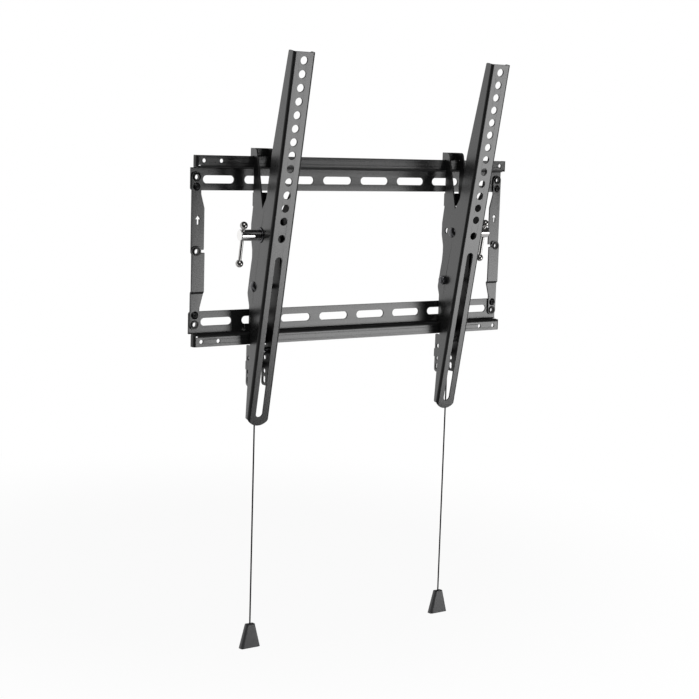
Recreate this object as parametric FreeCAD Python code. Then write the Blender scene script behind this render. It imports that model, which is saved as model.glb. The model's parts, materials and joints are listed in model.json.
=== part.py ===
import FreeCAD
import Part
import math
import os

# Tilting screen mount: a two-rail wall plate and a pair of hook-on arms. Millimetres.
# X runs along the wall, Y goes into the wall, Z is up. The origin is on the wall, at the plate's middle.
# Each arm is drawn for the left side and mirrored for the right, but both screen arms are the same channel.

# Wall plate rails
RAIL_WIDTH = 446.0
RAIL_SPACING = 161.6
RAIL_SHEET = 2.0
RAIL_BEND = 1.0
RAIL_CORNER = 3.0
WEB_INNER = 12.4
WEB_OUTER = 15.2
LIP_STANDOFF = 13.0
LIP_HEIGHT = 12.0
LIP_INSET = 1.0
TAB_DEPTH = 8.0
TAB_RELIEF = 0.8
TAB_ROUND = 1.0
SLOT_COUNT = 8
SLOT_PITCH = 0.12 * RAIL_WIDTH
SLOT_LENGTH = 0.75 * SLOT_PITCH
SLOT_WIDTH = 9.0
LIP_HOLE = 4.6
LIP_HOLE_EDGE = 10.0
LIP_HOLE_PITCH = 22.0

# Side links, two to a side, with their rivets and eyelets
LINK_SHEET = 2.0
LINK_INSET = 0.7
LINK_END_WIDTH = 12.0
LINK_MID_WIDTH = 16.4
LINK_RIVET_DROP = 8.1
LINK_RIVET_PITCH = 10.6
LINK_STOP = 1.5
LINK_FLARE_START = 4.0
LINK_FLARE_LENGTH = 16.0
LINK_FLARE_ROUND = 4.0
LINK_STOP_ROUND = 1.0
JOGGLE_DROP = 46.0
JOGGLE_ROUND = 1.0
ARROW_RISE = 35.4
ARROW_LENGTH = 10.5
ARROW_HEAD = 6.6
ARROW_HEAD_LENGTH = 4.6
ARROW_STEM = 2.6
RIVET_SHANK = 4.8
RIVET_HEAD = 9.6
RIVET_HEIGHT = 2.0
RIVET_SOCKET = 4.8
RIVET_SOCKET_DEPTH = 1.4
RIVET_MANDREL = 3.0
RIVET_MANDREL_RISE = 0.8
EYELET_TUBE = 7.0
EYELET_BORE = 5.6
EYELET_FLANGE = 9.8
EYELET_HEIGHT = 1.2
EYELET_ROLL = 0.6
FASTENER_FIT = 0.05

# Hook bracket, a folded channel that hangs on both lips
HOOK_WIDTH = 23.0
HOOK_SHEET = 2.0
HOOK_BEND = 1.0
HOOK_PLAY = 0.4
SEAT_GAP = 0.3
HOOK_BACK = 4.0
HOOK_REACH = 7.4
HOOK_RISE = 9.1
HOOK_TOP_DEPTH = 14.5
HOOK_TAPER_START = 18.0
HOOK_TOE_DEPTH = 20.5
HOOK_TOE_DROP = 49.6
HOOK_MID_BACK = 9.0
HOOK_LOW_BACK = 5.0
HOOK_STRAP_DROP = 1.6
HOOK_STRAP_HEIGHT = 15.4
TOE_STRAP_DROP = 24.0
TOE_STRAP_HEIGHT = 10.0
NOTCH_DROP = 1.6
TOE_HOLE = 5.5
TOE_HOLE_INSET = 5.6
TOE_HOLE_DROPS = (16.6, 32.6)
TOE_EYE_DROP = 42.6
TOE_EYE_WIDTH = 6.0
TOE_EYE_LENGTH = 8.5
HOOK_CROWN_ROUND = 5.0
HOOK_FRONT_ROUND = 10.0
HOOK_TOE_ROUND = 4.0
HOOK_NOTCH_ROUND = 1.0
HOOK_LEG_ROUND = 1.5
HOOK_LOBE_ROUND = 8.0
HOOK_WAIST_ROUND = 13.0
HOOK_WAIST_RISE = 33.6

# Tilt: pivot below, clamp bolt in an arc slot above it
ARM_SPREAD = 137.2
PIVOT_STANDOFF = 22.5
PIVOT_DROP = 40.0
PIVOT_LOBE = 12.0
CLAMP_RADIUS = 61.0
CLAMP_LOBE = 9.5
TILT_FORWARD = 11.0
TILT_BACK = 3.0
BOLT = 6.0
PIVOT_FIT = 0.05
CLAMP_FIT = 0.3
ARC_SLOT_WALL = 3.5
ARC_SLOT_SHOULDER = 3.0
BOLT_HEAD = 13.0
BOLT_DOME = 3.6
BOLT_NECK = 1.6
PIVOT_TAIL = 0.8
NUT_FLATS = 10.0
NUT_HEIGHT = 5.0
NUT_CROWN = 1.2
FRICTION_WASHER = 14.0
WASHER_GAP = 0.05

# Screen arm, a folded channel round the hook bracket
ARM_SHEET = 2.0
ARM_BEND = 1.0
ARM_SIDE_GAP = 0.5
ARM_SETBACK = 25.0
ARM_HOLE = 9.0
HOLE_RISE = 263.0
HOLE_PITCH = 15.0
HOLE_COUNT = 13
LAST_HOLE_GAP = 20.0
ARM_SLOT_GAP = 21.5
ARM_SLOT_LENGTH = 193.5
ARM_TOP = 9.4
ARM_TOE = 2.8
ARM_TOE_ARC = 7.6
FLANGE_TOP = 12.0
FLANGE_UPPER = 20.5
FLANGE_UPPER_RUN = 114.0
FLANGE_NECK_RISE = 44.0
SLIM_FLANGE_TOP = 9.0
SLIM_FLANGE_UPPER = 10.0
SLIM_FLANGE_UPPER_RUN = 87.0
SLIM_FLANGE_NECK = 15.0
SLIM_FLANGE_NECK_RISE = 51.0
FLANGE_CLAMP_LOBE = 10.0
FLANGE_PIVOT_LOBE = 11.5
FLANGE_LOWER = 21.0
FLANGE_LOWER_DROP = 40.0
FLANGE_TOE = 7.2
FLANGE_END_ROUND = 2.0
FLANGE_LONG_ROUND = 80.0
FLANGE_NECK_ROUND = 6.0
FLANGE_WAIST_ROUND = 30.0
FLANGE_LOBE_ROUND = 9.0

# Clamp handle: a barrel nut with a sliding bar
CLAMP_WASHER = 18.0
CLAMP_WASHER_SHEET = 1.2
BARREL = 13.0
BARREL_LENGTH = 25.0
BARREL_EDGE = 0.8
BARREL_THREAD = 15.0
TURN_GAP = 0.1
BAR = 4.0
BAR_FIT = 0.05
BAR_INSET = 4.2
BALL = 9.0
BALL_SEAT = 0.3
BAR_TRAVEL = 21.7

# Latch behind the lower lip, with its pull cord
LATCH_PLATE = 3.0
LATCH_ROUND = 1.0
LATCH_STANDOFF = 22.0
LATCH_DROP = 7.1
LATCH_PIN = 4.0
LATCH_BOSS = 5.0
LATCH_PLAY = 0.4
LATCH_NOSE = 4.0
LATCH_BITE = 5.4
LATCH_UNDER = 1.6
LATCH_SLEEVE = 7.0
SLEEVE_GAP = 0.15
SPRING_WIRE = 1.0
SPRING_TURNS = 4.75
SPRING_GAP = 0.3
SPRING_LEG = 11.0
CORD_STANDOFF = 12.7
CORD_EYE_RISE = 2.5
CORD_OFFSET = 3.0
CORD_PIN = 2.4
CORD_PIN_HEAD = 4.0
CORD_LOOP = 4.8
CORD_LOOP_WIDTH = 2.6
CORD_LOOP_TAIL = 4.5
CORD = 1.6
CORD_LENGTH = 345.0
GRIP_HEIGHT = 29.0
GRIP_TOP_WIDTH = 12.0
GRIP_TOP_DEPTH = 7.0
GRIP_WIDTH = 27.0
GRIP_DEPTH = 9.0
GRIP_CORNER = 0.8
GRIP_BORE_FIT = 0.1
GRIP_RECESS = 5.6
GRIP_RECESS_DEPTH = 14.0
KNOT = 5.0

# How far cutters run past the faces that they open
PAST = 1.0

# Places that several pieces share
SLOT_ROW = RAIL_SPACING / 2
WEB_EDGE = SLOT_ROW - WEB_INNER
STEP = SLOT_ROW + WEB_OUTER
LIP_EDGE = STEP + LIP_HEIGHT
LIP_BACK = LIP_STANDOFF - RAIL_SHEET
LIP_END = RAIL_WIDTH / 2 - LIP_INSET
LIP_MIDDLE = (STEP + LIP_EDGE) / 2
LINK_OUTER = RAIL_WIDTH / 2 - LINK_INSET
LINK_AXIS = LINK_OUTER - LINK_END_WIDTH / 2
LINK_FRONT = RAIL_SHEET + LINK_SHEET
LINK_RIVET = SLOT_ROW - LINK_RIVET_DROP
LINK_EYELET = LINK_RIVET + LINK_RIVET_PITCH
HOOK_EDGE = LIP_STANDOFF + HOOK_PLAY
HOOK_FOLD = HOOK_SHEET + HOOK_BEND
HOOK_INSIDE = HOOK_WIDTH / 2 - HOOK_SHEET
ARC_SLOT_WIDTH = BOLT + 2 * CLAMP_FIT
ARC_SLOT_FRONT = PIVOT_STANDOFF + CLAMP_RADIUS * math.sin(math.radians(TILT_FORWARD)) + ARC_SLOT_WIDTH / 2
HOOK_DEPTH = ARC_SLOT_FRONT + ARC_SLOT_WALL
HOOK_SHOULDER = CLAMP_RADIUS * math.cos(math.radians(TILT_FORWARD)) - PIVOT_DROP + ARC_SLOT_SHOULDER
ARM_INSIDE = HOOK_WIDTH / 2 + ARM_SIDE_GAP
ARM_OUTSIDE = ARM_INSIDE + ARM_SHEET
LAST_HOLE = HOLE_RISE - (HOLE_COUNT - 1) * HOLE_PITCH - LAST_HOLE_GAP
ARM_SLOT_TOP = LAST_HOLE - ARM_SLOT_GAP
ARM_END = ARM_SLOT_TOP - ARM_SLOT_LENGTH - ARM_TOE
PIVOT = FreeCAD.Vector(0, -PIVOT_STANDOFF, -PIVOT_DROP)
LATCH_Z = -LIP_EDGE - LATCH_DROP
CORD_EYE_Z = LATCH_Z + CORD_EYE_RISE
CORD_TOP = CORD_EYE_Z - CORD_LOOP_TAIL
BAR_X = -(ARM_OUTSIDE + CLAMP_WASHER_SHEET + TURN_GAP + BARREL_LENGTH - BAR_INSET)
BALL_UP = BARREL / 2 + BALL / 2 + BALL_SEAT


def outline(corners, place):
    """Closed wire through (a, b, radius) corners, each rounded by an arc that its sides have room for."""
    count = len(corners)
    ends = []
    for index, (a, b, radius) in enumerate(corners):
        corner = FreeCAD.Vector(a, b, 0)
        before = FreeCAD.Vector(*corners[index - 1][:2], 0) - corner
        after = FreeCAD.Vector(*corners[(index + 1) % count][:2], 0) - corner
        half = before.getAngle(after) / 2
        run = min(radius / math.tan(half), 0.49 * before.Length, 0.49 * after.Length)
        if radius == 0 or run < 1e-6:
            ends.append((corner, None, corner))
            continue
        before.normalize()
        after.normalize()
        bisector = before + after
        bisector.normalize()
        middle = corner + bisector * (run / math.cos(half) - run * math.tan(half))
        ends.append((corner + before * run, middle, corner + after * run))
    edges = []
    for index, (start, middle, end) in enumerate(ends):
        if middle is not None:
            edges.append(Part.Arc(place(start), place(middle), place(end)).toShape())
        following = ends[(index + 1) % count][0]
        if end.distanceToPoint(following) > 1e-6:
            edges.append(Part.LineSegment(place(end), place(following)).toShape())
    return Part.Wire(edges)


def prism_x(corners, start, end):
    """Solid of a (y, z, radius) outline between two places along X."""
    face = Part.Face(outline(corners, lambda p: FreeCAD.Vector(start, p.x, p.y)))
    return face.extrude(FreeCAD.Vector(end - start, 0, 0))


def prism_y(corners, start, end):
    """Solid of an (x, z, radius) outline between two places along Y."""
    face = Part.Face(outline(corners, lambda p: FreeCAD.Vector(p.x, start, p.y)))
    return face.extrude(FreeCAD.Vector(0, end - start, 0))


def prism_z(corners, start, end):
    """Solid of an (x, y, radius) outline between two places along Z."""
    face = Part.Face(outline(corners, lambda p: FreeCAD.Vector(p.x, p.y, start)))
    return face.extrude(FreeCAD.Vector(0, 0, end - start))


def box(x, y, z):
    """Block between pairs of limits along X, Y and Z."""
    sides = (max(x) - min(x), max(y) - min(y), max(z) - min(z))
    return Part.makeBox(*sides, FreeCAD.Vector(min(x), min(y), min(z)))


def rod_x(y, z, diameter, start, end):
    """Cylinder along X between two places."""
    origin = FreeCAD.Vector(min(start, end), y, z)
    return Part.makeCylinder(diameter / 2, abs(end - start), origin, FreeCAD.Vector(1, 0, 0))


def rod_y(x, z, diameter, start, end):
    """Cylinder along Y between two places."""
    origin = FreeCAD.Vector(x, min(start, end), z)
    return Part.makeCylinder(diameter / 2, abs(end - start), origin, FreeCAD.Vector(0, 1, 0))


def rod_z(x, y, diameter, start, end):
    """Cylinder along Z between two places."""
    return Part.makeCylinder(diameter / 2, abs(end - start), FreeCAD.Vector(x, y, min(start, end)))


def turned(profile, origin, axis):
    """Solid of revolution of a closed profile of (distance along the axis, radius, rounding) corners."""
    corners = [(radius, along, rounding) for along, radius, rounding in profile]
    wire = outline(corners, lambda p: FreeCAD.Vector(p.x, 0, p.y))
    solid = Part.Face(wire).revolve(FreeCAD.Vector(0, 0, 0), FreeCAD.Vector(0, 0, 1), 360)
    solid.Placement = FreeCAD.Placement(origin, FreeCAD.Rotation(FreeCAD.Vector(0, 0, 1), axis))
    return solid


def dome(diameter, height, origin, axis):
    """Shallow round head: a cap of the sphere that has this base and height."""
    radius = (diameter * diameter / 4 + height * height) / (2 * height)
    ball = Part.makeSphere(radius, FreeCAD.Vector(0, 0, height - radius))
    cap = ball.common(Part.makeCylinder(diameter, height))
    cap.Placement = FreeCAD.Placement(origin, FreeCAD.Rotation(FreeCAD.Vector(0, 0, 1), axis))
    return cap


def slot_along_x(x, z, length, width, start, end):
    """Cutter for a slot with round ends that runs along X, through sheets between two places along Y."""
    half = length / 2 - width / 2
    middle = box((x - half, x + half), (start, end), (z - width / 2, z + width / 2))
    return middle.fuse([rod_y(x - half, z, width, start, end), rod_y(x + half, z, width, start, end)])


def slot_along_z(z_low, z_high, width, start, end):
    """Cutter for a slot with round ends that runs along Z at the middle of a sheet that faces Y."""
    low = z_low + width / 2
    high = z_high - width / 2
    middle = box((-width / 2, width / 2), (start, end), (low, high))
    return middle.fuse([rod_y(0, low, width, start, end), rod_y(0, high, width, start, end)])


def mirrored_x(shape):
    return shape.mirror(FreeCAD.Vector(0, 0, 0), FreeCAD.Vector(1, 0, 0))


def mirrored_z(shape):
    return shape.mirror(FreeCAD.Vector(0, 0, 0), FreeCAD.Vector(0, 0, 1))


def end_tab():
    """Right end of a lip: it folds back round a corner, and its tab hangs clear of the step's end."""
    sheet = RAIL_SHEET
    fold = sheet + RAIL_BEND
    root = LIP_END - 2 * fold
    front = -LIP_STANDOFF
    section = [
        (LIP_END, front + TAB_DEPTH, TAB_ROUND),
        (LIP_END, front, fold),
        (root, front, 0),
        (root, -LIP_BACK, 0),
        (LIP_END - sheet, -LIP_BACK, RAIL_BEND),
        (LIP_END - sheet, front + TAB_DEPTH, 0),
    ]
    upper = prism_z(section, STEP + RAIL_BEND, LIP_EDGE)
    lower = prism_z(section, STEP - sheet + TAB_RELIEF, STEP + RAIL_BEND)
    free = box((LIP_END - fold, LIP_END), (front, front + TAB_DEPTH), (STEP - sheet, STEP + RAIL_BEND))
    return upper.fuse(lower.common(free))


def top_rail():
    """Z-section rail: slotted web on the wall, a step forward, and a lip whose ends fold back."""
    sheet = RAIL_SHEET
    fold = sheet + RAIL_BEND
    section = [
        (0, WEB_EDGE, 0),
        (0, STEP, fold),
        (-LIP_BACK, STEP, RAIL_BEND),
        (-LIP_BACK, LIP_EDGE, 0),
        (-LIP_STANDOFF, LIP_EDGE, 0),
        (-LIP_STANDOFF, STEP - sheet, fold),
        (-sheet, STEP - sheet, RAIL_BEND),
        (-sheet, WEB_EDGE, 0),
    ]
    half = RAIL_WIDTH / 2
    rail = prism_x(section, -half, half)
    face = [
        (-half, WEB_EDGE, RAIL_CORNER),
        (half, WEB_EDGE, RAIL_CORNER),
        (half, LIP_EDGE, 0),
        (-half, LIP_EDGE, 0),
    ]
    rail = rail.common(prism_y(face, -LIP_STANDOFF, 0))
    end = half + PAST
    front = -LIP_STANDOFF - PAST
    over = LIP_EDGE + PAST
    step_end = LIP_END - sheet - TAB_RELIEF
    cuts = [
        box((LIP_END - 2 * fold, end), (front, -LIP_BACK + RAIL_BEND), (STEP - sheet - PAST, over)),
        box((step_end, end), (front, -fold), (STEP - sheet - PAST, over)),
        box((step_end, end), (front, PAST), (STEP - sheet, over)),
        rod_y(LINK_AXIS, LINK_RIVET, RIVET_SHANK + 2 * FASTENER_FIT, -fold, PAST),
        rod_y(LINK_AXIS, LINK_EYELET, EYELET_TUBE + 2 * FASTENER_FIT, -fold, PAST),
    ]
    for number in range(2):
        x = LIP_END - LIP_HOLE_EDGE - number * LIP_HOLE_PITCH
        cuts.append(rod_y(x, LIP_MIDDLE, LIP_HOLE, front, -LIP_BACK + PAST))
    cuts += [mirrored_x(cut) for cut in cuts]
    for number in range(SLOT_COUNT):
        x = (number - (SLOT_COUNT - 1) / 2) * SLOT_PITCH
        cuts.append(slot_along_x(x, SLOT_ROW, SLOT_LENGTH, SLOT_WIDTH, -fold, PAST))
    tab = end_tab()
    return rail.cut(cuts).fuse([tab, mirrored_x(tab)]).removeSplitter()


def link_holes(rows, start, end):
    """Cutters for the rivet or eyelet holes at (height, diameter) rows on the left link's axis."""
    return [rod_y(-LINK_AXIS, z, size + 2 * FASTENER_FIT, start, end) for z, size in rows]


def upper_link():
    """Left upper link, flat on the rail's web, with its stop corner and the arrow that points up."""
    outer = -LINK_OUTER
    end = outer + LINK_END_WIDTH
    middle = outer + LINK_MID_WIDTH
    radius = LINK_END_WIDTH / 2
    flare = WEB_EDGE - LINK_FLARE_START
    shape = [
        (outer, LINK_EYELET + radius, radius),
        (end, LINK_EYELET + radius, radius),
        (end, flare, LINK_FLARE_ROUND),
        (middle, flare - LINK_FLARE_LENGTH, LINK_FLARE_ROUND),
        (middle, LINK_STOP, LINK_STOP_ROUND),
        (end, LINK_STOP, LINK_STOP_ROUND),
        (end, -radius, radius),
        (outer, -radius, radius),
    ]
    plate = prism_y(shape, -LINK_FRONT, -RAIL_SHEET)
    axis = (outer + middle) / 2
    tip = ARROW_RISE + ARROW_LENGTH / 2
    neck = tip - ARROW_HEAD_LENGTH
    arrow = [
        (axis, tip, 0),
        (axis + ARROW_HEAD / 2, neck, 0),
        (axis + ARROW_STEM / 2, neck, 0),
        (axis + ARROW_STEM / 2, tip - ARROW_LENGTH, 0),
        (axis - ARROW_STEM / 2, tip - ARROW_LENGTH, 0),
        (axis - ARROW_STEM / 2, neck, 0),
        (axis - ARROW_HEAD / 2, neck, 0),
    ]
    rows = ((LINK_EYELET, EYELET_TUBE), (LINK_RIVET, RIVET_SHANK), (0, EYELET_TUBE))
    cuts = link_holes(rows, -LINK_FRONT - PAST, -RAIL_SHEET + PAST)
    return plate.cut(cuts + [prism_y(arrow, -LINK_FRONT - PAST, -RAIL_SHEET + PAST)])


def lower_link():
    """Left lower link: in front of the upper one at the middle, joggled back onto the lower rail's web."""
    outer = -LINK_OUTER
    end = outer + LINK_END_WIDTH
    middle = outer + LINK_MID_WIDTH
    radius = LINK_END_WIDTH / 2
    shape = [
        (outer, radius, radius),
        (end, radius, radius),
        (end, -LINK_STOP, LINK_STOP_ROUND),
        (middle, -LINK_STOP, LINK_STOP_ROUND),
        (middle, -JOGGLE_DROP - LINK_SHEET, LINK_FLARE_ROUND),
        (end, -WEB_EDGE + LINK_FLARE_START, LINK_FLARE_ROUND),
        (end, -LINK_EYELET - radius, radius),
        (outer, -LINK_EYELET - radius, radius),
    ]
    front = LINK_FRONT + LINK_SHEET
    quarter_turn = math.radians(90)
    slope = math.tan(quarter_turn / 4) * LINK_SHEET
    section = [
        (-LINK_FRONT, radius, 0),
        (-front, radius, 0),
        (-front, -JOGGLE_DROP, JOGGLE_ROUND),
        (-LINK_FRONT, -JOGGLE_DROP - LINK_SHEET, JOGGLE_ROUND),
        (-LINK_FRONT, -LINK_EYELET - radius, 0),
        (-RAIL_SHEET, -LINK_EYELET - radius, 0),
        (-RAIL_SHEET, -JOGGLE_DROP - LINK_SHEET + slope, JOGGLE_ROUND),
        (-LINK_FRONT, -JOGGLE_DROP + slope, JOGGLE_ROUND),
    ]
    plate = prism_y(shape, -front, -RAIL_SHEET).common(prism_x(section, -RAIL_WIDTH / 2, 0))
    rows = ((-LINK_EYELET, EYELET_TUBE), (-LINK_RIVET, RIVET_SHANK), (0, EYELET_TUBE))
    return plate.cut(link_holes(rows, -front - PAST, -RAIL_SHEET + PAST))


def rail_rivets():
    """Four blind rivets through the links and the rails' webs, each with its mandrel's end in its head."""
    forward = FreeCAD.Vector(0, -1, 0)
    floor = -LINK_FRONT - RIVET_HEIGHT + RIVET_SOCKET_DEPTH
    rivets = []
    for x in (-LINK_AXIS, LINK_AXIS):
        for z in (-LINK_RIVET, LINK_RIVET):
            head = dome(RIVET_HEAD, RIVET_HEIGHT, FreeCAD.Vector(x, -LINK_FRONT, z), forward)
            socket = rod_y(x, z, RIVET_SOCKET, floor, -LINK_FRONT - RIVET_HEIGHT - PAST)
            mandrel = dome(RIVET_MANDREL, RIVET_MANDREL_RISE, FreeCAD.Vector(x, floor, z), forward)
            shank = rod_y(x, z, RIVET_SHANK, -LINK_FRONT, 0)
            rivets.append(head.fuse(shank).cut(socket).fuse(mandrel).removeSplitter())
    return Part.makeCompound(rivets)


def eyelet(x, z, back, front):
    """Hollow rivet between two places along Y, with a rolled flange at its front."""
    bore = EYELET_BORE / 2
    tube = EYELET_TUBE / 2
    flange = EYELET_FLANGE / 2
    length = front - back
    profile = [
        (0, bore, 0),
        (0, tube, 0),
        (length, tube, 0),
        (length, flange, 0),
        (length + EYELET_HEIGHT, flange, EYELET_ROLL),
        (length + EYELET_HEIGHT, bore, EYELET_ROLL),
    ]
    return turned(profile, FreeCAD.Vector(x, -back, z), FreeCAD.Vector(0, -1, 0))


def link_eyelets():
    """Six hollow rivets: one at each end of both links, and one where two links meet."""
    eyelets = []
    for x in (-LINK_AXIS, LINK_AXIS):
        eyelets.append(eyelet(x, LINK_EYELET, 0, LINK_FRONT))
        eyelets.append(eyelet(x, -LINK_EYELET, 0, LINK_FRONT))
        eyelets.append(eyelet(x, 0, RAIL_SHEET, LINK_FRONT + LINK_SHEET))
    return Part.makeCompound(eyelets)


def cross_web(back, low, high):
    """Strap of the hook bracket: folds in from both side plates and joins them across the back."""
    half = HOOK_WIDTH / 2
    sheet = HOOK_SHEET
    root = -back - HOOK_FOLD - sheet
    section = [
        (-half, root, 0),
        (-half, -back, HOOK_FOLD),
        (half, -back, HOOK_FOLD),
        (half, root, 0),
        (half - sheet, root, 0),
        (half - sheet, -back - sheet, HOOK_BEND),
        (-half + sheet, -back - sheet, HOOK_BEND),
        (-half + sheet, root, 0),
    ]
    return prism_z(section, low, high)


def tilt_point(radius, degrees):
    """Place in the side view at a radius from the pivot, leaning forward from upright by an angle."""
    angle = math.radians(degrees)
    return PIVOT.y - radius * math.sin(angle), PIVOT.z + radius * math.cos(angle)


def arc_slot():
    """Cutter for the tilt slot: an arc about the pivot, with round ends, across both side plates."""
    reach = HOOK_WIDTH
    width = ARC_SLOT_WIDTH
    inner = CLAMP_RADIUS - width / 2
    outer = CLAMP_RADIUS + width / 2
    span = (TILT_FORWARD, (TILT_FORWARD - TILT_BACK) / 2, -TILT_BACK)

    def place(radius, degrees):
        y, z = tilt_point(radius, degrees)
        return FreeCAD.Vector(-reach, y, z)

    rim = Part.Arc(*[place(outer, degrees) for degrees in span]).toShape()
    root = Part.Arc(*[place(inner, degrees) for degrees in reversed(span)]).toShape()
    back = Part.LineSegment(place(outer, span[2]), place(inner, span[2])).toShape()
    front = Part.LineSegment(place(inner, span[0]), place(outer, span[0])).toShape()
    sector = Part.Face(Part.Wire([rim, back, root, front])).extrude(FreeCAD.Vector(2 * reach, 0, 0))
    ends = [tilt_point(CLAMP_RADIUS, degrees) for degrees in (span[0], span[2])]
    return sector.fuse([rod_x(y, z, width, -reach, reach) for y, z in ends])


def hook_bracket():
    """Two hooked side plates, folded from one sheet and joined by three straps across the back."""
    slot_back, slot_rise = tilt_point(CLAMP_RADIUS, -TILT_BACK)
    slot_edge = slot_back + CLAMP_LOBE
    pivot_edge = PIVOT.y + PIVOT_LOBE
    strap_top = WEB_EDGE - HOOK_STRAP_DROP
    strap_low = strap_top - HOOK_STRAP_HEIGHT
    top = LIP_EDGE + HOOK_RISE
    toe = -LIP_EDGE - HOOK_TOE_DROP
    notch_low = -LIP_EDGE - NOTCH_DROP
    notch_high = -STEP + RAIL_SHEET + RAIL_BEND + HOOK_PLAY
    leg_back = -HOOK_BACK - HOOK_FOLD
    leg_front = -LIP_BACK + HOOK_PLAY
    side = [
        (leg_back, LIP_EDGE - HOOK_REACH, 0),
        (leg_back, top, 0),
        (-HOOK_BACK - HOOK_TOP_DEPTH, top, HOOK_CROWN_ROUND),
        (-HOOK_DEPTH, HOOK_SHOULDER, HOOK_FRONT_ROUND),
        (-HOOK_DEPTH, PIVOT.z - HOOK_TAPER_START, HOOK_FRONT_ROUND),
        (-HOOK_TOE_DEPTH, toe, HOOK_TOE_ROUND),
        (-HOOK_LOW_BACK, toe, HOOK_TOE_ROUND),
        (-HOOK_LOW_BACK, notch_low, HOOK_LEG_ROUND),
        (-HOOK_EDGE, notch_low, HOOK_NOTCH_ROUND),
        (-HOOK_EDGE, notch_high, HOOK_NOTCH_ROUND),
        (-HOOK_MID_BACK, notch_high, HOOK_LEG_ROUND),
        (-HOOK_MID_BACK, PIVOT.z - PIVOT_LOBE, HOOK_LOBE_ROUND),
        (pivot_edge, PIVOT.z + PIVOT_LOBE / 2, HOOK_WAIST_ROUND),
        (-HOOK_EDGE, PIVOT.z + HOOK_WAIST_RISE, HOOK_WAIST_ROUND),
        (-HOOK_EDGE, slot_rise - 2 * CLAMP_LOBE, HOOK_LOBE_ROUND),
        (slot_edge, slot_rise - CLAMP_LOBE / 2, HOOK_LOBE_ROUND),
        (slot_edge, slot_rise + CLAMP_LOBE, HOOK_LOBE_ROUND),
        (-HOOK_EDGE, strap_low, HOOK_LEG_ROUND),
        (-HOOK_EDGE, LIP_EDGE + SEAT_GAP, 0),
        (leg_front, LIP_EDGE + SEAT_GAP, 0),
        (leg_front, LIP_EDGE - HOOK_REACH, HOOK_NOTCH_ROUND),
    ]
    half = HOOK_WIDTH / 2
    plate = prism_x(side, -half, -HOOK_INSIDE)
    toe_strap = notch_low - TOE_STRAP_DROP - TOE_STRAP_HEIGHT / 2
    straps = [
        cross_web(HOOK_BACK, LIP_EDGE - HOOK_REACH, top),
        cross_web(HOOK_EDGE - HOOK_FOLD, strap_low, strap_top),
        cross_web(HOOK_LOW_BACK - HOOK_FOLD, toe_strap, toe_strap + TOE_STRAP_HEIGHT),
    ]
    cuts = [
        arc_slot(),
        rod_x(PIVOT.y, PIVOT.z, BOLT + 2 * PIVOT_FIT, -HOOK_WIDTH, HOOK_WIDTH),
        rod_x(-LATCH_STANDOFF, LATCH_Z, LATCH_PIN + 2 * FASTENER_FIT, -HOOK_WIDTH, HOOK_WIDTH),
    ]
    hole_y = -HOOK_LOW_BACK - TOE_HOLE_INSET
    for drop in TOE_HOLE_DROPS:
        cuts.append(rod_x(hole_y, -LIP_EDGE - drop, TOE_HOLE, -HOOK_WIDTH, HOOK_WIDTH))
    eye_half = (TOE_EYE_LENGTH - TOE_EYE_WIDTH) / 2
    for shift in (-eye_half, eye_half):
        cuts.append(rod_x(hole_y, -LIP_EDGE - TOE_EYE_DROP + shift, TOE_EYE_WIDTH, -HOOK_WIDTH, HOOK_WIDTH))
    return plate.fuse([mirrored_x(plate)] + straps).cut(cuts).removeSplitter()


def flange_outline(top_depth, upper_depth, upper_run, neck_depth, neck_rise):
    """Side outline of an arm's flange: its own upper taper, then the lobes and toe that both share."""
    front = -ARM_SETBACK
    top = HOLE_RISE + ARM_TOP
    end = ARM_END - ARM_TOE_ARC
    return [
        (front, top, 0),
        (front + top_depth, top, FLANGE_END_ROUND),
        (front + upper_depth, top - upper_run, FLANGE_LONG_ROUND),
        (front + neck_depth, CLAMP_RADIUS + neck_rise, FLANGE_NECK_ROUND),
        (FLANGE_CLAMP_LOBE, CLAMP_RADIUS + FLANGE_CLAMP_LOBE, FLANGE_LOBE_ROUND),
        (FLANGE_PIVOT_LOBE, FLANGE_PIVOT_LOBE, FLANGE_WAIST_ROUND),
        (FLANGE_PIVOT_LOBE, -FLANGE_PIVOT_LOBE, FLANGE_LOBE_ROUND),
        (front + FLANGE_LOWER, -FLANGE_LOWER_DROP, FLANGE_LOBE_ROUND),
        (front + FLANGE_TOE, ARM_END, FLANGE_END_ROUND),
        (front + ARM_SHEET, ARM_END, 0),
        (front + ARM_SHEET, end, 0),
        (front, end, 0),
    ]


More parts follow.
